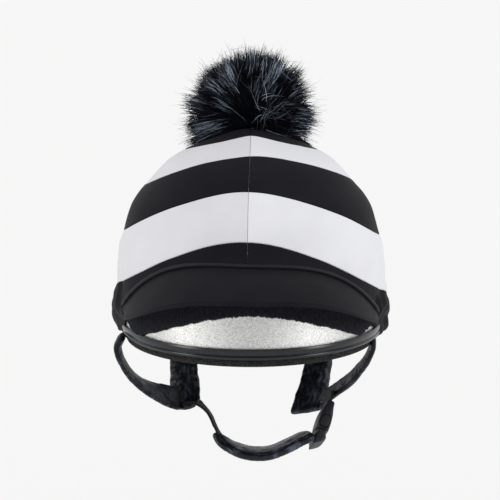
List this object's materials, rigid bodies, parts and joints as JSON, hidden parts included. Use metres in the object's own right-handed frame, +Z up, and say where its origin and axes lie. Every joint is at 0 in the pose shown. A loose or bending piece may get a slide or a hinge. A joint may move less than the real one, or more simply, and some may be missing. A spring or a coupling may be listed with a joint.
{
  "type": "jockey cap",
  "caption": "Jockey skull helmet in a black and white hooped stretch cover with a soft peak, fur pompom and padded chin harness with a side-release buckle.",
  "frame": {"origin": "centre of the helmet's rim plane, where a head fills it", "axes": "+Z up through the crown, -Y to the front where the peak points, +X to the wearer's left"},
  "size_m": [0.1984, 0.289, 0.2872],
  "materials": {
    "silver_shell": "satin",
    "lining_textile": "matte",
    "trim_rubber": "satin",
    "black_stretch": "matte",
    "white_stretch": "matte",
    "ribbed_plush": "matte",
    "fur": "soft",
    "harness_leatherette": "satin",
    "strap_webbing": "matte",
    "buckle_plastic": "matte"
  },
  "bodies": {
    "root": {"shell": "silver_shell", "rim_trim": "trim_rubber", "liner": "lining_textile", "cover_skirt_right": "black_stretch", "cover_white_lower_right": "white_stretch", "cover_black_middle_right": "black_stretch", "cover_white_upper_right": "white_stretch", "cover_crown_right": "black_stretch", "harness_right": "harness_leatherette", "cover_skirt_left": "black_stretch", "cover_white_lower_left": "white_stretch", "cover_black_middle_left": "black_stretch", "cover_white_upper_left": "white_stretch", "cover_crown_left": "black_stretch", "harness_left": "harness_leatherette", "peak_cord": "black_stretch", "peak": "black_stretch", "elastic_hem": "ribbed_plush", "pompom": "fur", "buckle_socket": "buckle_plastic", "buckle_plug": "buckle_plastic", "chin_webbing": "strap_webbing", "chin_pad": "harness_leatherette", "buckle_tab": "strap_webbing"}
  },
  "joints": []
}
